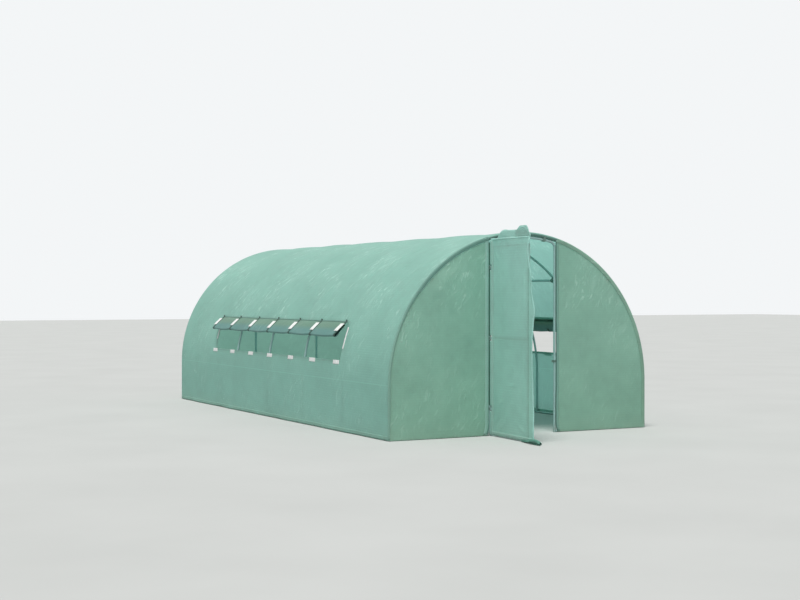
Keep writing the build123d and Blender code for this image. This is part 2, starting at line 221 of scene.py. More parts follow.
def make_piece(name, grids, material, body, thickness=0.0):
    """A mesh of one or more grids that rides on a body. UVs are metres of cloth.

    A thickness goes half to each side of the grids.
    """
    all_points, all_quads, all_uv, offset = [], [], [], 0
    for points, uv, keep, wrap in grids:
        here, there = (np.arange(k[..., 0].size).reshape(k.shape[:2]) for k in (points, uv))
        if wrap:
            here = np.concatenate([here, here[:, :1]], axis=1)
        quads, corners = (
            np.stack([k[:-1, :-1], k[:-1, 1:], k[1:, 1:], k[1:, :-1]], axis=-1)[keep]
            for k in (here, there)
        )
        used, packed = np.unique(quads, return_inverse=True)
        all_points.append(points.reshape(-1, 3)[used])
        all_quads.append(packed.reshape(-1, 4) + offset)
        all_uv.append(uv.reshape(-1, 2)[corners.ravel()])
        offset += len(used)
    mesh = bpy.data.meshes.new(name)
    mesh.from_pydata(np.concatenate(all_points).tolist(), [], np.concatenate(all_quads).tolist())
    layer = mesh.uv_layers.new(name="cloth")
    layer.data.foreach_set("uv", np.concatenate(all_uv).astype(np.float32).ravel())
    mesh.polygons.foreach_set("use_smooth", np.ones(len(mesh.polygons), bool))
    mesh.materials.append(material)
    mesh.update()
    piece = add_object(name, mesh)
    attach(piece, body)
    if thickness:
        solidify = piece.modifiers.new("thickness", "SOLIDIFY")
        solidify.thickness = thickness
        solidify.offset = 0
    return piece


# Thickness of the cloths
leaf_thickness = 0.0008
band_thickness = 0.001
hem_thickness = 0.0012
flap_thickness = 0.0016


# Materials
class Nodes:
    """The node tree of a material or a world, with short calls to add and join nodes."""

    def __init__(self, owner):
        owner.use_nodes = True
        self.owner = owner
        self.tree = owner.node_tree
        self.tree.nodes.clear()

    def add(self, kind, inputs=(), **settings):
        node = self.tree.nodes.new("ShaderNode" + kind)
        for key, value in settings.items():
            setattr(node, key, value)
        for key, value in dict(inputs).items():
            self.join(value, node.inputs[key])
        return node

    def join(self, value, socket):
        if isinstance(value, bpy.types.NodeSocket):
            self.tree.links.new(value, socket)
        else:
            socket.default_value = value

    def math(self, operation, a, b=0.0, c=0.0):
        return self.add("Math", {0: a, 1: b, 2: c}, operation=operation).outputs[0]

    def times(self, a, b):
        return self.math("MULTIPLY", a, b)

    def mix(self, factor, a, b):
        return self.add("Mix", {0: factor, 6: a, 7: b}, data_type="RGBA").outputs[2]

    def span(self, value, low, high, to_low=0.0, to_high=1.0):
        inputs = {0: value, 1: low, 2: high, 3: to_low, 4: to_high}
        return self.add("MapRange", inputs, clamp=True).outputs[0]

    def noise(self, vector, scale, detail=3.0, roughness=0.5):
        inputs = {"Vector": vector, "Scale": scale, "Detail": detail, "Roughness": roughness}
        return self.add("TexNoise", inputs).outputs[0]

    def stretched(self, vector, turn, per_metre):
        """Coordinates for streaks: turned first, then scaled along and across them."""
        scale = (1 / per_metre[0], 1 / per_metre[1], 1)
        inputs = {"Vector": vector, "Rotation": (0, 0, turn), "Scale": scale}
        return self.add("Mapping", inputs, vector_type="TEXTURE").outputs[0]

    def wander(self, vector, scale, reach):
        """A vector that wanders slowly from place to place, to bend straight marks."""
        colour = self.add("TexNoise", {"Vector": vector, "Scale": scale, "Detail": 2.0}).outputs["Color"]
        shift = self.add("VectorMath", {0: colour, 1: (0.5, 0.5, 0.5)}, operation="SUBTRACT").outputs[0]
        return self.add("VectorMath", {0: shift, "Scale": reach}, operation="SCALE").outputs[0]

    def lines(self, coordinate, pitch, sharpness):
        """Thin bright lines across a coordinate, one each pitch."""
        wave = self.math("SINE", self.times(coordinate, 2 * math.pi / pitch))
        return self.math("POWER", self.math("MULTIPLY_ADD", wave, 0.5, 0.5), sharpness)

    def bump(self, height, distance, normal=None, strength=1.0):
        inputs = {"Height": height, "Distance": distance, "Strength": strength}
        if normal is not None:
            inputs["Normal"] = normal
        return self.add("Bump", inputs).outputs[0]

    def cloth(self):
        """Metres of cloth: as one vector, along and across."""
        uv = self.add("UVMap", uv_map="cloth").outputs[0]
        u, v, _ = self.add("SeparateXYZ", {0: uv}).outputs
        return uv, u, v

    def height(self):
        place = self.add("NewGeometry").outputs["Position"]
        return self.add("SeparateXYZ", {0: place}).outputs[2]

    def finish(self, shader):
        self.add("OutputMaterial", {"Surface": shader.outputs[0]})
        return self.owner

    def film(self, body, through, colour, normal):
        """The finished material of a cloth that lets a share of the light through."""
        glow = self.add("BsdfTranslucent", {"Color": colour, "Normal": normal})
        return self.finish(self.add("MixShader", {0: through, 1: body.outputs[0], 2: glow.outputs[0]}))


def linear(*colour):
    """Linear colour of an sRGB one given from 0 to 255."""
    parts = [c / 255 for c in colour]
    return (*[c / 12.92 if c <= 0.04045 else ((c + 0.055) / 1.055) ** 2.4 for c in parts], 1.0)


def scaled(colour, factor):
    return (*[min(1.0, c * factor) for c in colour[:3]], 1.0)


daylight_blue = linear(158, 216, 218)
through_tint = 0.35
thread_pitch = 0.024
weave_pitch = 0.0032

# Crease marks, lightened as painted highlights (glints): long marks, short marks and flecks: strength, turn, how
# many a metre along and across, detail, roughness, and the noise's levels where a mark begins and is full
glint_mark_kinds = [
    (0.35, 0.95, (5.0, 19.0), 4.0, 0.65, 0.50, 0.68),
    (0.6, 1.30, (13.0, 34.0), 4.0, 0.65, 0.54, 0.68),
    (1.0, 1.15, (7.5, 27.0), 2.0, 0.6, 0.57, 0.66),
]


def fabric(name, colour, through, glint_streaks=0.12, dirt=0.0, rough=0.5, below=None, seam=None, uneven=1.0):
    """Woven film: fine weave, reinforcing threads, cloudy tone, creases with painted highlights (glints) along
    them, and light through it.

    below is (colour, low, high): another tone under a height, blended in between the two.
    seam is how far from the ridge a welded seam runs, seen as a thin pale line. uneven is how
    strongly the tone is clouded.
    """
    n = Nodes(bpy.data.materials.new(name))
    uv, u, v = n.cloth()
    height = n.height()
    cloud = n.noise(uv, 1.7, 4.0, 0.55)
    patchy = n.noise(uv, 9.0, 3.0, 0.6)
    threads = n.times(n.lines(u, thread_pitch, 7.0), 0.35)
    threads = n.math("MAXIMUM", n.lines(v, thread_pitch, 5.0), threads)
    threads = n.times(threads, n.span(patchy, 0.3, 0.6, 0.35, 1.0))
    weave = n.times(n.lines(u, weave_pitch, 1.0), n.lines(v, weave_pitch, 1.0))
    bent = n.add("VectorMath", {0: uv, 1: n.wander(uv, 4.0, 0.16)}, operation="ADD").outputs[0]
    marks = 0.0
    for strength, turn, per_metre, detail, roughness, low, high in glint_mark_kinds:
        kind = n.noise(n.stretched(bent, turn, per_metre), 1.0, detail, roughness)
        marks = n.math("MAXIMUM", marks, n.times(n.span(kind, low, high), strength))
    # Painted highlights: the glints gather in cloudy patches, and fade to about a third from 1.35 m down to 0.8 m.
    marks = n.times(marks, n.span(n.noise(uv, 1.6, 3.0, 0.6), 0.45, 0.62, 0.06, 1.0))
    marks = n.times(marks, n.span(height, 0.8, 1.35, 0.35, 1.0))
    if below:
        colour = n.mix(n.span(height, below[1], below[2]), below[0], colour)

    def lit(factor):
        inputs = {0: 1.0, 6: colour, 7: (factor, factor, factor, 1.0)}
        return n.add("Mix", inputs, data_type="RGBA", blend_type="MULTIPLY").outputs[2]

    tone = n.mix(n.span(cloud, 0.3, 0.7), lit(1 - 0.07 * uneven), lit(1 + 0.05 * uneven))
    tone = n.mix(n.span(patchy, 0.35, 0.75, 0.0, min(1.0, 0.35 * uneven)), tone, lit(1.10))
    tone = n.mix(n.times(threads, 0.20), tone, lit(1.28))
    # Painted highlight: along the crease marks the tone is lifted towards a pale near-white, as glints.
    tone = n.mix(n.times(marks, glint_streaks), tone, n.mix(0.45, lit(1.6), linear(232, 244, 238)))
    if seam:
        line = n.span(n.math("ABSOLUTE", n.math("SUBTRACT", v, seam)), 0.008, 0.003)
        tone = n.mix(n.times(line, 0.5), tone, lit(1.25))
    if dirt:
        splash = n.times(n.span(height, 0.18, 0.0), n.span(patchy, 0.3, 0.65))
        tone = n.mix(n.times(splash, dirt), tone, linear(150, 152, 130))
    normal = n.bump(weave, 0.0004, strength=0.5)
    normal = n.bump(threads, 0.0007, normal, 0.5)
    normal = n.bump(marks, 0.004, normal, min(1.0, 0.3 + glint_streaks))
    normal = n.bump(cloud, 0.02, normal, 0.25)
    gloss = n.span(patchy, 0.3, 0.7, rough - 0.06, rough + 0.1)
    inputs = {"Base Color": tone, "Roughness": gloss, "Specular IOR Level": 0.35, "Normal": normal}
    body = n.add("BsdfPrincipled", inputs)
    return n.film(body, through, n.mix(through_tint, tone, daylight_blue), normal)


def steel(name, colour, metallic, rough, grime):
    """Zinc-coated steel: spangle, fine scratches along no one way, and grime low down."""
    n = Nodes(bpy.data.materials.new(name))
    place = n.add("TexCoord").outputs["Object"]
    spangle = n.add("TexVoronoi", {"Vector": place, "Scale": 120.0}).outputs["Color"]
    tint = n.add("SeparateColor", {0: spangle}).outputs[0]
    cloud = n.noise(place, 14.0, 5.0, 0.6)
    fine = n.noise(place, 420.0, 2.0, 0.6)
    tone = n.mix(n.span(tint, 0.0, 1.0, 0.0, 0.5), scaled(colour, 0.92), scaled(colour, 1.08))
    tone = n.mix(n.span(cloud, 0.45, 0.8, 0.0, grime), tone, scaled(colour, 0.6))
    low = n.times(n.span(n.height(), 0.16, 0.0), n.span(cloud, 0.35, 0.6))
    tone = n.mix(n.times(low, 0.5), tone, linear(120, 108, 88))
    normal = n.bump(fine, 0.0004, strength=0.35)
    gloss = n.span(cloud, 0.3, 0.75, rough - 0.08, rough + 0.14)
    inputs = {"Base Color": tone, "Roughness": gloss, "Metallic": metallic, "Normal": normal}
    return n.finish(n.add("BsdfPrincipled", inputs))


def napped(name, colour, half_width, half_height):
    """Hook-and-loop tape: a furry face with a woven edge and a stitched border."""
    n = Nodes(bpy.data.materials.new(name))
    uv, u, v = n.cloth()
    fluff = n.noise(uv, 900.0, 3.0, 0.7)
    cloud = n.noise(uv, 40.0)
    rows = n.lines(v, 0.0022, 1.0)
    tone = n.mix(n.span(fluff, 0.3, 0.7), scaled(colour, 0.94), colour)
    tone = n.mix(n.span(cloud, 0.45, 0.8, 0.0, 0.3), tone, scaled(colour, 0.88))
    stitches = 0.0
    for across, along, half in ((u, v, half_width), (v, u, half_height)):
        edge = n.math("SUBTRACT", half, n.math("ABSOLUTE", across))
        line = n.span(n.math("ABSOLUTE", n.math("SUBTRACT", edge, 0.0045)), 0.0011, 0.0005)
        dashes = n.span(n.lines(along, 0.0034, 1.0), 0.3, 0.5)
        stitches = n.math("MAXIMUM", stitches, n.times(line, dashes))
    tone = n.mix(n.times(stitches, 0.5), tone, scaled(colour, 0.6))
    normal = n.bump(fluff, 0.0012, strength=0.8)
    normal = n.bump(rows, 0.0004, normal, 0.5)
    normal = n.bump(stitches, 0.0008, normal, 0.8)
    body = n.add("BsdfPrincipled", {"Base Color": tone, "Roughness": 0.9, "Normal": normal})
    return n.film(body, 0.25, tone, normal)


seam_s = 0.52
cover_fabric = fabric(
    "cover_fabric", linear(154, 200, 186), 0.40, glint_streaks=0.9, dirt=0.2, seam=ridge_s - seam_s, uneven=1.5
)
cover_hem_fabric = fabric("cover_hem_fabric", linear(154, 201, 186), 0.38, dirt=0.2)
front_fabric = fabric(
    "front_fabric", linear(164, 202, 182), 0.42, glint_streaks=0.85, dirt=0.2,
    below=(linear(158, 197, 175), 0.25, 0.9), uneven=1.8
)
leaf_fabric = fabric(
    "leaf_fabric", linear(192, 230, 220), 0.42, dirt=0.1,
    below=(linear(181, 219, 207), 0.1, 1.8), uneven=1.2
)
pale_fabric = fabric("pale_fabric", linear(211, 249, 241), 0.42)
# Painted shade: a dark teal cloth for the shade that the end hoop and its roll throw, paler below 0.8 m.
shade_band_fabric = fabric("shade_band_fabric", linear(122, 165, 153), 0.25, below=(linear(142, 184, 168), 0.8, 1.5))
# Dark cloth: painted shadow at the right panel's edge beside the door post, and the binding on the flaps' seams.
shadow_and_seam_fabric = fabric("shadow_and_seam_fabric", linear(89, 126, 117), 0.15)
flap_fabric = fabric(
    "flap_fabric", linear(98, 135, 117), 0.12, glint_streaks=0.5,
    below=(linear(92, 137, 131), head_z - 0.09, head_z - 0.05), uneven=2.6
)
tie_fabric = fabric("tie_fabric", linear(57, 85, 77), 0.05, rough=0.6)
# Painted shade: the tail is made dark for the shade it lies in on the ground.
tail_shade_fabric = fabric("tail_shade_fabric", linear(86, 136, 121), 0.06, glint_streaks=0.3)
# Painted shade: the post's sleeve has the dark green of the shaded gap between the leaf and the panel.
post_shade_fabric = fabric("post_shade_fabric", linear(70, 113, 98), 0.10)
patch_tape = napped("patch_tape", linear(254, 255, 254), 0.075, 0.021)
strip_tape = napped("strip_tape", linear(254, 255, 254), 0.014, 0.11)
flap_tape = napped("flap_tape", linear(250, 252, 250), 0.043, 0.050)
tube_steel = steel("tube_steel", linear(161, 194, 191), 0.15, 0.45, 0.25)
# Painted shade, in part: the fittings' zinc is darker and greener than the tubes, so the hinge collars keep the
# post's dark line unbroken.
fitting_steel = steel("fitting_steel", linear(110, 138, 128), 0.4, 0.5, 0.35)


# Cover
ground_gap = 0.002


def section(s, out=0.0):
    """Points across the tunnel at s along its section, out from the hoops' outline."""
    turn = np.clip(s - leg, 0, math.pi * radius) / radius
    below = np.minimum(s - leg, 0) + np.minimum(section_length - leg - s, 0)
    x = -(radius + out) * np.cos(turn)
    z = leg + (radius + out) * np.sin(turn) + below
    return x, z


# Small creases of the roof: y, s, and the tilt, length, width and height that creased takes
crease_count = 320
crease_reach = 0.6
crease_rng = np.random.default_rng(11)
roof_creases = [
    (
        crease_rng.uniform(front_y + 0.2, rear_y - 0.2),
        ridge_s + crease_rng.choice([-1, 1]) * crease_rng.uniform(0.15, 1.75),
        crease_rng.normal(0.48, 0.30),
        crease_rng.uniform(0.05, 0.15),
        crease_rng.uniform(0.014, 0.024),
        crease_rng.uniform(0.002, 0.0052) * crease_rng.choice([-1, 1, 1]),
    )
    for _ in range(crease_count)
]


def cover_rise(s, y):
    """How far the cover stands out from the hoops' outline: sag, creases and hem."""
    s, y = np.broadcast_arrays(s, y)
    ground = np.minimum(s, section_length - s)
    between = np.abs(np.sin(math.pi * np.clip((y - hoop_ys[0]) / bay, 0, 6))) ** 1.5
    ends = smooth(np.minimum(y - hoop_ys[0], hoop_ys[-1] - y), 0.0, 0.25)
    rise = -(0.003 + 0.005 * smooth(ground, 0.1, 1.3)) * between
    rise = rise + 0.0022 * ends * between * ripple(y, s, 3, 0.7)
    rise = rise + 0.0012 * ends * between * ripple(y, s, 5, 0.22)
    for at_y, at_s, *crease in roof_creases:
        up, ahead = (s - at_s) * math.copysign(1, ridge_s - at_s), at_y - y
        near = (np.abs(up) < crease_reach) & (np.abs(ahead) < crease_reach)
        rise[near] += creased(up[near], ahead[near], [(0, 0, *crease)]) * ends[near]
    wave = 0.5 + 0.5 * ripple(y, 9 * (s > ridge_s), 21, 0.5)
    rise = rise + 0.012 * np.exp(-ground / 0.06) * wave * ends
    corner = np.exp(-(section_length - s) / 0.022) * np.exp(-(y - front_y) / 0.16)
    return rise + 0.05 * corner * smooth(y - hoop_ys[0], -0.01, 0.05)


def cover_points(s, y, out=0.0):
    """Grid of points on the cover: rows along s, columns along y."""
    s, y = np.broadcast_arrays(s[:, None], y)
    x, z = section(s, cover_rise(s, y) + out)
    return stacked(x, y, np.maximum(z, ground_gap))


def rolled_end(s, y_hoop, facing, turns):
    """Columns of the cover's end, rolled round the end hoop; facing is -1 at the front."""
    x, z = section(s[:, None], roll_r * (np.cos(turns) - 1))
    return stacked(x, y_hoop + facing * roll_r * np.sin(turns), np.maximum(z, ground_gap))


cover_step = 0.0192
ground_clear = 0.004
front_turns = np.radians([155, 130, 105, 80, 55, 30, 12])


def make_cover():
    """The cover over all hoops, rolled round the end ones, with both windows cut out of it."""
    stops = [ground_clear, sill_s, head_s]
    s = samples(stops + [section_length - stop for stop in stops[::-1]], cover_step)
    y = samples([hoop_ys[0], window_front_y, window_rear_y, hoop_ys[-1]], cover_step)
    rear_turns = front_turns[::-1]
    front_end, rear_end = rolled_end(s, y[0], -1, front_turns), rolled_end(s, y[-1], 1, rear_turns)
    points = np.concatenate([front_end, cover_points(s, y), rear_end], axis=1)
    across = np.concatenate([y[0] - roll_r * front_turns, y, y[-1] + roll_r * rear_turns]) - front_y
    uv = stacked(across, np.abs(s - ridge_s)[:, None])
    middle_s = (s[1:] + s[:-1])[:, None] / 2
    middle_y = (across[1:] + across[:-1]) / 2 + front_y
    folded = np.minimum(middle_s, section_length - middle_s)
    hole = (folded > sill_s) & (folded < head_s) & (middle_y > window_front_y) & (middle_y < window_rear_y)
    cover = make_piece("tunnel_cover", [grid(points, uv, ~hole)], cover_fabric, "tunnel")
    walls = ("lower_wall", "front_wall", "rear_wall", "shoulder", "roof")
    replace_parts(cover, *[f"{name}_{wall}" for name in sides for wall in walls])
    return cover


def both_sides(side, s_low, s_high):
    """A stretch of the section on the left, or its mirror image on the right."""
    return (s_low, s_high) if side < 0 else (section_length - s_high, section_length - s_low)


def cover_strip(side, s_low, s_high, y_low, y_high, out):
    """Grid of a narrow strip that lies on one side of the cover."""
    s = samples(both_sides(side, s_low, s_high), 0.012)
    y = samples([y_low, y_high], 0.03)
    return grid(cover_points(s, y, out), stacked(y - front_y, np.abs(s - ridge_s)[:, None]))


window_hem = 0.024
ground_hem_height = 0.045
hem_lift = 0.0012


def make_cover_hems():
    """Hems round the windows and along the ground."""
    hem_front_y, hem_rear_y = window_front_y - window_hem, window_rear_y + window_hem
    window = [
        (head_s, head_s + window_hem, hem_front_y, hem_rear_y),
        (sill_s - window_hem, sill_s, hem_front_y, hem_rear_y),
        (sill_s, head_s, hem_front_y, window_front_y),
        (sill_s, head_s, window_rear_y, hem_rear_y),
    ]
    ground = [(2 * ground_clear, ground_hem_height, hoop_ys[0], hoop_ys[-1])]
    pieces = []
    for name, side in sides.items():
        for place, strips, lift in (("window", window, -hem_lift), ("ground", ground, hem_lift)):
            hem = f"{name}_{place}_hem"
            grids = [cover_strip(side, *strip, lift) for strip in strips]
            pieces.append(make_piece(hem, grids, cover_hem_fabric, "tunnel", hem_thickness))
    return pieces


# Ends
end_lift = 0.0015
corner_cut = 0.030
corner_height = 0.12
right_edge_x = 0.383
panel_seed = 43


def panel_inner_x(side, z):
    """Inner edge of the panel beside the door: a little wavy, and cut away at its lower corner."""
    wave = 0.004 * ripple(z, side, 31, 0.45) * smooth(z, 0.1, 0.5) * (1 - smooth(z, 1.6, 1.85))
    cut = corner_cut * np.clip(1 - z / corner_height, 0, 1) ** 2
    if side < 0:
        return doorway_x - 0.002 + 0.4 * np.abs(wave) + cut
    return right_edge_x + np.abs(wave) + 0.006 * np.exp(-(((z - 0.8) / 0.28) ** 2)) + cut


def panel_outer_x(z):
    return np.sqrt(hoop_r**2 - np.maximum(z - leg, 0) ** 2)


def end_bulge(x, z, seed):
    """How far an end panel stands out between what holds it."""
    held = smooth(np.abs(x), 0.44, 0.7) * smooth(panel_outer_x(z) - np.abs(x), 0.02, 0.22)
    return held * (0.003 + 0.0045 * ripple(x, z, seed, 0.8) + 0.0016 * ripple(x, z, seed + 1, 0.25))


def make_front_panel(name):
    """Panel beside the doorway, up to the rim of the front hoop, flaring a little at its foot."""
    side = sides[name]
    top = leg + math.sqrt(hoop_r**2 - (doorway_x + 0.004) ** 2)
    z = samples([ground_clear, 0.35, top - 0.1, top], 0.018)[:, None]
    inner = panel_inner_x(side, z)
    x = side * (inner + np.maximum(panel_outer_x(z) - inner, 0.0005) * samples([0, 1], 0.018))
    flare = 0.012 * np.exp(-z / 0.05) * smooth(np.abs(x), 0.7, 1.3) * (0.6 + 0.4 * ripple(x, z, 41, 0.3))
    y = front_y + end_lift - end_bulge(x, z, panel_seed + side) - flare
    cloth = grid(stacked(x, y, z), stacked(x, z), flip=side < 0)
    panel = make_piece(f"{name}_front_panel", [cloth], front_fabric, "tunnel")
    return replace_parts(panel, f"{name}_front_cover")


def make_rear_panel():
    """One panel from the ground up to the rim of the rear hoop."""
    turn = samples([0, math.pi], math.pi / 90)[:, None]
    x, rim_z = -hoop_r * np.cos(turn), leg + hoop_r * np.sin(turn)
    z = ground_clear + (rim_z - ground_clear) * samples([0, 1], 0.022)
    y = rear_y - end_lift + end_bulge(x, z, 51)
    cloth = grid(stacked(x, y, z), stacked(x, z), flip=True)
    panel = make_piece("rear_panel", [cloth], front_fabric, "tunnel")
    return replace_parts(panel, "rear_cover")


def make_panel_hems():
    """Hems down the panels' inner edges: one pale hem at the left, a dark edge and a hem at the right. The dark
    edge is painted shadow in the gap beside the right door post.
    """
    z = samples([0.014, 1.925], 0.02)[:, None]
    share = np.linspace(0, 1, 4)
    pieces = {name: [] for name in sides}
    for name, part, low, high, material in (
        ("left", "hem", 0.0, 0.040, leaf_fabric),
        # Painted shadow: a dark strip along the right panel's edge, next to the post.
        ("right", "edge", 0.0, 0.009, shadow_and_seam_fabric),
        ("right", "hem", 0.010, 0.034, cover_hem_fabric),
    ):
        side = sides[name]
        x = side * (panel_inner_x(side, z) + low + (high - low) * share)
        y = front_y - end_lift / 2 - end_bulge(x, z, panel_seed + side)
        strip = grid(stacked(x, y, z), stacked(x, z), flip=side < 0)
        hem = f"{name}_panel_{part}"
        pieces[name].append(make_piece(hem, [strip], material, "tunnel", leaf_thickness))
    return pieces


def end_band(name, facing, s_low, s_high, outer, inner, lift, material):
    """Band of cloth along the end hoop, from the roll over it down to inner, a function of s.

    outer and inner are out from the hoops' outline. Inside the roll the band curls behind it.
    """
    y_hoop = hoop_ys[0] if facing < 0 else hoop_ys[-1]
    s = samples([s_low, s_high], 0.03)[:, None]
    low = inner(s)
    out = low + (outer - low) * np.linspace(0, 1, 9)
    x, z = section(s, out)
    off_centre = np.maximum(out + roll_r, 0)
    depth = np.sqrt(np.maximum((roll_r + lift) ** 2 - off_centre**2, 0))
    points = stacked(x, y_hoop + facing * depth, np.maximum(z, ground_gap))
    band = grid(points, stacked(out, s), flip=facing > 0)
    return make_piece(name, [band], material, "tunnel", band_thickness)


def make_doorway_band(door_s):
    """Dark band over the doorway, round the inner side of the roll and hanging to the header: painted shade under
    the roll and over the slit above the header.
    """
    s = samples([door_s - 0.02, section_length - door_s + 0.02], 0.03)[:, None]
    turns = np.radians([70, 80, 90, 112, 134, 156, 180])
    r = roll_r + 0.0012
    out = np.concatenate([r * np.cos(turns), [-r - 0.003, -r - 0.0065]]) - roll_r
    y = hoop_ys[0] - np.concatenate([r * np.sin(turns), [0, 0]])
    x, z = section(s, out)
    down = np.concatenate([[0], np.cumsum(np.hypot(np.diff(out), np.diff(y)))])
    band = grid(stacked(x, y, z), stacked(down, s), flip=True)
    return make_piece("doorway_shade_band", [band], shade_band_fabric, "tunnel", band_thickness)


def make_end_bands():
    """The bands along both end hoops and over the doorway, by the panel or opening they edge. The left front band
    and the doorway band are dark painted shade of the front hoop and its roll.
    """
    door_s = leg + radius * math.acos((doorway_x + 0.002) / hoop_r)
    left = (ground_clear, door_s)
    right = (section_length - door_s, section_length - ground_clear)

    # Inner edge of the left band of painted shade, wider higher up the arch.
    def shade_band_edge(s):
        return -0.018 - 0.020 * smooth(s, 0.75, 1.9) + 0.002 * ripple(s, 0, 61, 0.4)

    def pale_edge(s):
        return shade_band_edge(s) - 0.004

    def right_edge(s):
        return -0.046 - 0.002 * ripple(s, 0, 62, 0.6)

    def rear_edge(s):
        return -0.060 - 0.003 * ripple(s, 0, 63, 0.5)

    whole = (ground_clear, section_length - ground_clear)
    return {
        "left": [
            end_band("left_front_piping", -1, 1.5, door_s, -0.016, pale_edge, 0.0008, pale_fabric),
            end_band("left_front_shade_band", -1, *left, -0.0015, shade_band_edge, 0.0014, shade_band_fabric),
        ],
        "right": [end_band("right_front_band", -1, *right, -0.0035, right_edge, 0.0012, front_fabric)],
        "rear": [end_band("rear_band", 1, *whole, -0.0035, rear_edge, 0.0012, front_fabric)],
        "doorway": [make_doorway_band(door_s)],
    }


# Window flaps and their fasteners
flap_seam_lift = 0.004
flap_out = 0.140
flap_drop = 0.124
flap_roll_r = 0.013
flap_front_gap = 0.050
flap_rear_overhang = 0.035
tie_ys = np.array([4.72, 4.15, 3.55, 2.97, 2.36, 1.79, 1.185])
flap_ys = samples([window_front_y + flap_front_gap, window_rear_y + flap_rear_overhang], 0.016)


def flap_line(side, y):
    """Section of the folded flap at y: from its seam out and down to the roll, and back up inside."""
    nearest = np.min(np.abs((y - front_y)[:, None] - tie_ys), axis=1)
    slack = 1 - np.exp(-((nearest / 0.13) ** 2))
    sag = 0.007 * slack + 0.0025 * ripple(y, 0, 71, 0.5)
    seam_x, seam_z = section(head_s + flap_seam_lift, 0.002)
    fold_x, fold_z = section(head_s, 0.003)
    length = math.hypot(flap_out, flap_drop)
    slope = math.atan2(flap_drop, flap_out)
    t = np.linspace(0, 1, 13)[:, None]
    roll = np.radians(np.arange(24, 181, 26))[:, None]
    back = np.linspace(0.12, 0.82, 8)[:, None]
    down = np.concatenate([length * t, length + flap_roll_r * np.sin(roll), length * (1 - back)])
    over = np.concatenate(
        [
            (0.004 + 0.010 * slack) * np.sin(math.pi * t),
            -flap_roll_r * (1 - np.cos(roll)) + 0 * slack,
            -2 * flap_roll_r * (1 - 0.72 * back) + 0 * slack,
        ]
    )
    x = -fold_x + down * math.cos(slope) + over * math.sin(slope)
    z = fold_z - down * math.sin(slope) + over * math.cos(slope)
    z = z - sag * np.clip(down / length, 0, 1) ** 2
    x = np.vstack([np.full(len(y), -seam_x), x])
    z = np.vstack([np.full(len(y), seam_z), z])
    return stacked(side * x, y, z)


def lengths_down(points):
    """Mean distance down a grid's rows, for cloth coordinates."""
    steps = np.linalg.norm(np.diff(points, axis=0), axis=-1).mean(axis=1)
    return np.concatenate([[0], np.cumsum(steps)])


def make_flap(name):
    """A window's flap, folded up and rolled at its edge."""
    side = sides[name]
    points = flap_line(side, flap_ys)
    cloth = grid(points, stacked(flap_ys - front_y, lengths_down(points)[:, None]), flip=side < 0)
    flap = make_piece(f"{name}_flap", [cloth], flap_fabric, "tunnel", flap_thickness)
    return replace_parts(flap, f"{name}_window_flap")


tie_width = 0.034
tie_tab = 0.018
tie_offset = 0.020
tie_lift = 0.0032
tape_width = 0.086
tape_start = 0.048
tape_length = 0.108
tape_lift = 0.0062
seam_lift = 0.0022
strap_step = 0.009


def at_distances(points, distances):
    """The grid's rows interpolated at distances down from its first row."""
    down = lengths_down(points)
    return np.apply_along_axis(lambda line: np.interp(distances, down, line), 0, points)


def lifted(points, distance):
    """The same grid moved out along its normals."""
    normals = np.cross(np.gradient(points, axis=1), np.gradient(points, axis=0))
    normals /= np.linalg.norm(normals, axis=-1, keepdims=True)
    return points + normals * np.asarray(distance)[..., None]


def make_straps(name):
    """Dark ties that hold the folded flap, a white tape beside each, and a binding on the seam."""
    side = sides[name]
    ties, tapes = [], []
    for number, place in enumerate(tie_ys):
        y = front_y + place - tie_offset + np.linspace(-tie_width / 2, tie_width / 2, 4)[::-side]
        tab_s = head_s + flap_seam_lift + np.linspace(tie_tab, 0.004, 4)[:, None]
        x, z = section(tab_s, 0.0045 + 0.006 * np.linspace(1, 0, 4)[:, None] ** 2)
        path = np.concatenate([stacked(side * -x, y, z), flap_line(side, y)[:-6]])
        path = at_distances(path, samples([0, lengths_down(path)[-1]], strap_step))
        path = lifted(path, tie_lift)
        ties.append(grid(path, stacked(y - y.mean(), lengths_down(path)[:, None])))
        y = front_y + place + np.linspace(-tape_width / 2, tape_width / 2, 9)[::-side]
        start = tape_start + 0.005 * math.sin(5.1 * number + side)
        tape = at_distances(flap_line(side, y), start + samples([0, tape_length], strap_step))
        a = np.linspace(-1, 1, tape.shape[0])[:, None]
        b = np.linspace(-1, 1, tape.shape[1])
        pillow = 0.0016 * (1 - a**4) * (1 - b**4)
        tape = lifted(tape, tape_lift + pillow + 0.003 * np.clip(-a, 0, 1) ** 3)
        tapes.append(grid(tape, stacked(b * tape_width / 2, a * tape_length / 2)))
    y = flap_ys[::-side]
    seam = lifted(at_distances(flap_line(side, y), [0.0, 0.005, 0.011]), seam_lift)
    seams = [grid(seam, stacked(y - front_y, lengths_down(seam)[:, None]))]
    return [
        make_piece(f"{name}_flap_{part}", grids, material, "tunnel", flap_thickness)
        for part, grids, material, slot in (
            ("seam", seams, shadow_and_seam_fabric, "flap_fabric"),
            ("ties", ties, tie_fabric, "flap_fabric"),
            ("tapes", tapes, flap_tape, "hook_and_loop"),
        )
    ]


# Hook-and-loop patches under the sill and strips beside the window
patch_width = 0.150
patch_height = 0.042
patch_count = 7
patch_inset = 0.090
patch_overhang = 0.030
strip_width = 0.028
strip_margin = 0.012
strip_from_sill = 0.114
strip_from_head = 0.053
strip_seed = 3


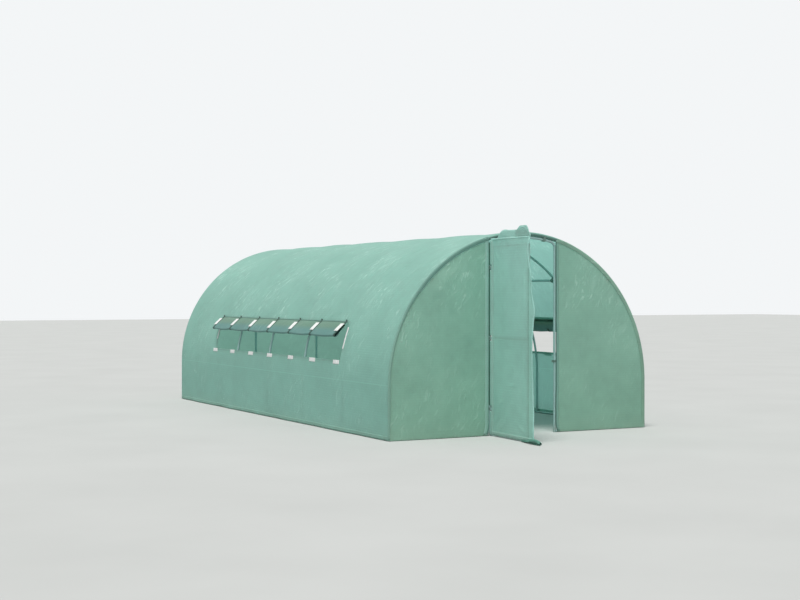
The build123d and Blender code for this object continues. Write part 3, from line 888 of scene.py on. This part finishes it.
def cover_patch(side, y, s_low, s_high, width, seed):
    """A pillowed patch on the cover, with corners that lift a little."""
    s = samples(both_sides(side, s_low, s_high), 0.008)
    across = samples([-width / 2, width / 2], 0.010)
    a = np.linspace(-1, 1, len(s))[:, None]
    b = across / (width / 2)
    out = 0.0012 + 0.0016 * (1 - a**6) * (1 - b**6) + 0.0022 * np.abs(a * b) ** 5 * (1 + math.sin(seed))
    return grid(cover_points(s, y + across, out), stacked(across, a * (s_high - s_low) / 2))


def make_fasteners(name):
    """A row of patches under a window's sill and a strip past each of its ends."""
    side = sides[name]
    patch_ys = np.linspace(window_front_y + patch_inset, window_rear_y + patch_overhang, patch_count)
    patches = [
        cover_patch(side, y, sill_s - patch_height, sill_s, patch_width, seed)
        for seed, y in enumerate(patch_ys)
    ]
    strip_s = (s_at(sill_z + strip_from_sill), s_at(head_z - strip_from_head))
    reach = strip_margin + strip_width / 2
    strips = [
        cover_patch(side, y, *strip_s, strip_width, strip_seed)
        for y in (window_front_y - reach, window_rear_y + reach)
    ]
    row = make_piece(f"{name}_patches", patches, patch_tape, "tunnel", hem_thickness)
    make_piece(f"{name}_end_strips", strips, strip_tape, "tunnel", hem_thickness)
    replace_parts(row, f"{name}_window_fasteners")


# Door leaf
wrap_r = leaf_tube_r + 0.0009
leaf_front_w = leaf_tube_w - wrap_r
border_u = -0.006
border_w = -0.0085
free_edge = [
    (0.01, 0.838), (0.25, 0.820), (0.68, 0.800), (1.10, 0.812), (1.235, 0.831), (1.34, 0.797),
    (1.58, 0.774), (1.69, 0.727), (1.85, 0.722), (1.93, 0.757), (2.0, 0.745),
]
head_edge = [
    (0.02, 1.908), (0.08, 1.918), (0.135, 1.930), (0.165, 1.958), (0.25, 1.997),
    (0.36, 1.993), (0.47, 1.991), (0.60, 1.985), (0.70, 1.970), (0.76, 1.925),
]
leaf_foot_z = 0.012
hinge_cut_u = 0.015
hinge_cut_gap = 0.012
leaf_seam_z = 1.915
leaf_creases = [
    (0.30, 1.83, 1.9, 0.035, 0.010, -0.004), (0.33, 1.88, 1.6, 0.03, 0.012, 0.003),
    (0.21, 1.24, 2.1, 0.030, 0.009, -0.0035), (0.27, 1.20, 1.7, 0.035, 0.010, 0.003),
    (0.12, 1.08, 0.3, 0.060, 0.008, -0.003), (0.30, 0.86, 0.2, 0.060, 0.008, -0.003),
    (0.44, 0.52, 0.0, 0.080, 0.007, 0.003), (0.20, 0.34, 0.5, 0.050, 0.012, 0.003),
    (0.12, 0.13, 0.9, 0.070, 0.016, -0.0035), (0.20, 0.10, 0.7, 0.080, 0.014, 0.003),
    (0.10, 1.76, -1.0, 0.090, 0.014, 0.004), (0.62, 1.40, 1.5, 0.20, 0.012, 0.0035),
    (0.60, 0.70, 1.6, 0.24, 0.012, 0.003), (0.56, 0.12, -0.4, 0.08, 0.016, 0.0025),
    (0.500, 1.962, 1.57, 0.030, 0.012, -0.005), (0.690, 1.958, 1.57, 0.034, 0.012, -0.005),
    (0.46, 1.78, 1.2, 0.045, 0.020, -0.003), (0.16, 1.55, 1.4, 0.120, 0.010, 0.0025),
]


def leaf_place(u, w, z):
    """Points of the door leaf: u along it from the hinges, w behind the hinge line."""
    u, w, z = np.broadcast_arrays(u, w, z)
    return u[..., None] * leaf_along + w[..., None] * leaf_inward + stacked(hinge_x, hinge_y, z)


def leaf_w(u, z):
    """Where the leaf's cloth stands: on the tubes, slack between them and curled past them."""
    inside = smooth(u, hinge_stile_u + 0.016, hinge_stile_u + 0.11)
    inside = inside * smooth(free_stile_u - u, 0.016, 0.11)
    for rail_z in leaf_rail_zs:
        inside = inside * smooth(np.abs(z - rail_z), 0.010, 0.14)
    inside = inside * (1 - smooth(z, leaf_top_z - 0.02, leaf_top_z))
    w = leaf_front_w + inside * (0.0035 - 0.0035 * ripple(u, z, 81, 0.9) - 0.0014 * ripple(u, z, 82, 0.22))
    w = w + (border_w - leaf_front_w) * (1 - smooth(u, 0.010, hinge_stile_u))
    w = w - creased(u, z, leaf_creases) * smooth(u, 0.05, 0.12)
    head = smooth(z, leaf_top_z, leaf_top_z + 0.08)
    w = w - head * (0.003 + 0.006 * ripple(u, z, 83, 0.26))
    loose = np.clip(u - free_stile_u - leaf_tube_r, 0, None)
    curl = 0.02 + 0.06 * ripple(z, 0, 84, 0.5) + 0.15 * np.exp(-(((z - 1.5) / 0.16) ** 2))
    flutter = 0.002 * ripple(u, z, 85, 0.16) * smooth(loose, 0, 0.05)
    w = w - np.maximum(loose * curl, -0.002) - flutter
    return np.minimum(w, leaf_front_w + 0.006 * inside)


def make_leaf_cloth():
    """The leaf's cloth: from its border by the hinges, over the frame, and loose past it."""
    start = free_stile_u + leaf_tube_r
    on_frame = samples([border_u, 0.010, hinge_stile_u, start], 0.012)
    loose = np.linspace(0, 1, 10)[1:]
    rows = np.linspace(0, 1, 150)[:, None]
    nominal = start + (0.745 - start) * loose
    tops = through(np.concatenate([on_frame, nominal]), head_edge)
    foot = leaf_foot_z + 0.003 * ripple(np.arange(len(tops)) * 0.012, 0.0, 86, 0.3)
    z = foot + (tops - foot) * rows
    edge = through(z[:, -len(loose):], free_edge)
    u = np.hstack([on_frame + 0 * rows, start + (edge - start) * loose])
    along = np.concatenate([on_frame, nominal + 0.04 * loose])
    middle_u, middle_z = ((k[:-1, 1:] + k[1:, :-1]) / 2 for k in (u, z))
    beside = np.min([np.abs(middle_z - low - collar_height / 2) for low in collars], axis=0)
    keep = (middle_u > hinge_cut_u) | (beside > collar_height / 2 + hinge_cut_gap)
    sheet = grid(leaf_place(u, leaf_w(u, z), z), stacked(along, z), keep, flip=True)
    cloth = make_piece("leaf_cloth", [sheet], leaf_fabric, "door", leaf_thickness)
    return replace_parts(cloth, "door_cloth")


def leaf_strip(u, z, lift):
    """Grid of a strip on the leaf's cloth: columns along u, rows up z, which is a column itself."""
    return grid(leaf_place(u, leaf_w(u, z) - lift, z), stacked(u, z), flip=True)


hem_start_u = 0.016
# Where the dark line of painted shade runs along the free stile's outer edge, and how high it goes.
stile_line_u = 0.711
stile_line_top = 1.62


def make_leaf_hems():
    """Hems down the free edge, the stile and the hinges, across the head and along the foot. The dark line down
    the free stile is painted shade of the tube behind the cloth.
    """
    z = samples([0.016, 1.905], 0.02)[:, None]
    free_u = through(z, free_edge) + np.linspace(-0.030, -0.001, 4)
    stile_u = stile_line_u + np.array([-0.003, 0.004])
    stile_z = samples([0.05, stile_line_top], 0.02)[:, None]
    head_u, foot_u = (samples([hem_start_u, end], 0.014) for end in (0.735, 0.832))
    head_z, foot_z = leaf_seam_z + np.c_[[-0.008, 0.0, 0.008]], np.c_[[0.015, 0.026, 0.038, 0.050]]
    turns = np.radians(np.linspace(-60, 100, 9))
    wrap_z = samples([0.03, leaf_top_z], 0.05)[:, None]
    wrap = leaf_place(free_stile_u + wrap_r * np.cos(turns), leaf_tube_w + wrap_r * np.sin(turns), wrap_z)
    hems = {
        "free_hem": (leaf_strip(free_u, z, 0.0011), pale_fabric),
        "hinge_hem": (leaf_strip(np.array([0.018, 0.026]), z, 0.0011), leaf_fabric),
        "stile_shade_line": (leaf_strip(stile_u, stile_z, 0.0006), shade_band_fabric),
        "stile_wrap": (grid(wrap, stacked(wrap_r * turns, wrap_z), flip=True), leaf_fabric),
        "head_seam": (leaf_strip(head_u, head_z, np.c_[[0.0008, 0.0014, 0.0008]]), pale_fabric),
        "foot_hem": (leaf_strip(foot_u, foot_z, 0.0010), leaf_fabric),
    }
    return [
        make_piece(f"leaf_{name}", [strip], material, "door", leaf_thickness)
        for name, (strip, material) in hems.items()
    ]


bunch_ends = (0.470, 0.748)
bunch_slopes = (0.110, 0.072)
bunch_foot_z = 1.925
bunch_top_z = 2.025
bunch_depth = 0.009
bunch_middle = (0.620, 1.950)


def make_bunch():
    """Spare cloth gathered over the leaf's head: a soft hill with folds that arch over it."""
    u = samples(bunch_ends, 0.006)
    rise = smooth(u, bunch_ends[0], bunch_ends[0] + bunch_slopes[0])
    rise = rise * smooth(-u, -bunch_ends[1], bunch_slopes[1] - bunch_ends[1])
    shoulder = through(u, head_edge) - 0.004
    top = shoulder + (bunch_top_z - shoulder) * rise
    climb = np.linspace(0, 1, 22)[:, None]
    z = bunch_foot_z + (top - bunch_foot_z) * (1 - (1 - climb) ** 1.7)
    swell = np.sin(0.82 * math.pi * climb) ** 1.3
    reach = np.hypot((u - bunch_middle[0]) / 1.25, z - bunch_middle[1])
    arches = 0.0014 * np.cos(2 * math.pi * reach / 0.021 + 0.8) * smooth(reach, 0.012, 0.03)
    pleats = 0.0008 * np.sin(2 * math.pi * u / 0.031 + 6 * climb)
    w = leaf_w(u, np.minimum(z, shoulder)) - 0.0012 - rise * swell * (bunch_depth + arches + pleats)
    turns = np.linspace(0.2, 1, 5)[:, None]
    over_z = top - 0.007 * turns**2
    over_w = w[-1:] + (leaf_front_w + 0.001 - w[-1:]) * smooth(turns, 0, 1)
    z, w = np.vstack([z, over_z]), np.vstack([w, over_w])
    uv = stacked((u - bunch_ends[0]) * 1.1, np.linspace(0, 0.16, len(z))[:, None])
    sheet = grid(leaf_place(u, w, z), uv, flip=True)
    return make_piece("leaf_bunch", [sheet], leaf_fabric, "door", leaf_thickness)


tail_start_u = 0.60
tail_end_u = 0.962
tail_heights = [(0.60, 0.010), (0.70, 0.020), (0.77, 0.036), (0.84, 0.046), (0.92, 0.042), (0.962, 0.026)]
tail_half_widths = [(0.60, 0.005), (0.72, 0.011), (0.84, 0.017), (0.92, 0.017), (0.962, 0.012)]


def make_tail():
    """Loose foot of the cloth: rolled up on the ground and trailing past the free corner. Its dark colour is
    painted shade.
    """
    u = samples([tail_start_u, 0.80, tail_end_u], 0.010)
    turn = np.radians(np.linspace(200, -140, 34))[:, None]
    height = through(u, tail_heights)
    half = through(u, tail_half_widths)
    pleat = 0.0026 * np.sin(turn * 3 + 22 * u) + 0.0016 * ripple(turn * 0.02, u, 91, 0.045)
    z = 0.004 + height / 2 + (height / 2 + pleat) * np.sin(turn)
    w = leaf_front_w - 0.004 - half - (half + pleat) * np.cos(turn + math.pi)
    along = u + 0.006 * np.sin(turn * 2 + 1) * smooth(u, 0.84, tail_end_u)
    points = leaf_place(np.minimum(along, tail_end_u), w, np.maximum(z, 0.003))
    roll = grid(points, stacked(u, lengths_down(points)[:, None]))
    tail = make_piece("leaf_tail", [roll], tail_shade_fabric, "door", band_thickness)
    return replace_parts(tail, "door_cloth_tail")


# Dark sleeve on the left door post, open where the hinge collars sit: painted shade of the gap beside the leaf
sleeve_r = post_r + 0.0008
sleeve_foot_z = 0.30
sleeve_rise = 0.070
sleeve_gap = 0.006
bend_start = 0.034
bend_r = 0.060


def make_sleeve():
    """Three lengths of sleeve, the last one bent over at its top."""
    header_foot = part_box("door_header")[0].z
    gaps = [(low - sleeve_gap, low + collar_height + sleeve_gap) for low in collars[1:]]
    lengths = [
        (sleeve_foot_z, gaps[0][0]),
        (gaps[0][1], gaps[1][0]),
        (gaps[1][1], header_foot + sleeve_rise),
    ]
    around = np.radians(np.arange(0, 360, 15))
    grids = []
    for low, high in lengths:
        z = samples([low, high], 0.012)[:, None]
        r = sleeve_r + 0.0005 * np.abs(ripple(around * 0.02, z, 95, 0.06))
        lean = np.arcsin(np.clip((z - header_foot - bend_start) / bend_r, 0, 0.9))
        x = -post_x + bend_r * (1 - np.cos(lean)) + r * np.cos(around) / np.cos(lean)
        points = stacked(x, post_y + r * np.sin(around), z)
        turn = np.append(around, 2 * math.pi) * sleeve_r
        grids.append(grid(points, stacked(turn, z), wrap=True))
    make_piece("left_post_shade_sleeve", grids, post_shade_fabric, "tunnel")


cover = make_cover()
hems = make_cover_hems()
front_panels = {name: make_front_panel(name) for name in sides}
rear_panel = make_rear_panel()
panel_hems = make_panel_hems()
bands = make_end_bands()
flaps = {name: make_flap(name) for name in sides}
straps = {name: make_straps(name) for name in sides}
for name in sides:
    make_fasteners(name)
leaf_cloth = make_leaf_cloth()
leaf_hems = make_leaf_hems()
bunch = make_bunch()
tail = make_tail()
make_sleeve()

for name, node in frame["nodes"].items():
    slot = next(m["material_slot"] for m in frame["record"]["subparts"] if m["node"] == name)
    look = {"frame_tube": tube_steel, "fitting_steel": fitting_steel}.get(slot, front_fabric)
    node.data.materials.clear()
    node.data.materials.append(look)


# Stage and light
floor_half = 60
floor_drop = 0.001
floor_tones = ((0.47, 0.48, 0.47, 1), (0.495, 0.505, 0.495, 1))
sky_colour = (0.93, 0.97, 1.0, 1)
sky_strength = 0.47
backdrop_colour = (0.90, 0.92, 0.93, 1)
sun_strength = 3.07
sun_width = math.radians(24)
sun_colour = (1.0, 0.985, 0.96)
sun_tilt = (math.radians(12.7), math.radians(-11.8), 0)


def make_stage():
    """A plain floor, just under the ground."""
    mesh = bpy.data.meshes.new("floor")
    corners = [(x * floor_half, y * floor_half, 0) for x, y in ((-1, -1), (1, -1), (1, 1), (-1, 1))]
    mesh.from_pydata(corners, [], [(0, 1, 2, 3)])
    n = Nodes(bpy.data.materials.new("floor"))
    cloud = n.noise(n.add("TexCoord").outputs["Object"], 0.8, 3.0)
    tone = n.mix(n.span(cloud, 0.3, 0.7), *floor_tones)
    inputs = {"Base Color": tone, "Roughness": 0.9, "Specular IOR Level": 0.1}
    mesh.materials.append(n.finish(n.add("BsdfPrincipled", inputs)))
    floor = add_object("floor", mesh)
    floor.location.z = -floor_drop


def make_light():
    """A sky that lights, a plain backdrop where it is seen itself, and one wide sun."""
    world = bpy.data.worlds.new("world")
    bpy.context.scene.world = world
    n = Nodes(world)
    paths = n.add("LightPath").outputs
    seen = n.math("MAXIMUM", paths["Is Camera Ray"], paths["Is Glossy Ray"])
    seen = n.math("MAXIMUM", seen, paths["Is Transmission Ray"])
    sky = n.add("Background", {"Color": sky_colour, "Strength": sky_strength})
    backdrop = n.add("Background", {"Color": backdrop_colour})
    mixed = n.add("MixShader", {0: seen, 1: sky.outputs[0], 2: backdrop.outputs[0]})
    n.add("OutputWorld", {"Surface": mixed.outputs[0]})
    data = bpy.data.lights.new("key", "SUN")
    data.energy = sun_strength
    data.angle = sun_width
    data.color = sun_colour
    key = add_object("key", data)
    key.rotation_euler = sun_tilt
    bpy.context.scene.view_settings.view_transform = "Standard"


make_stage()
make_light()
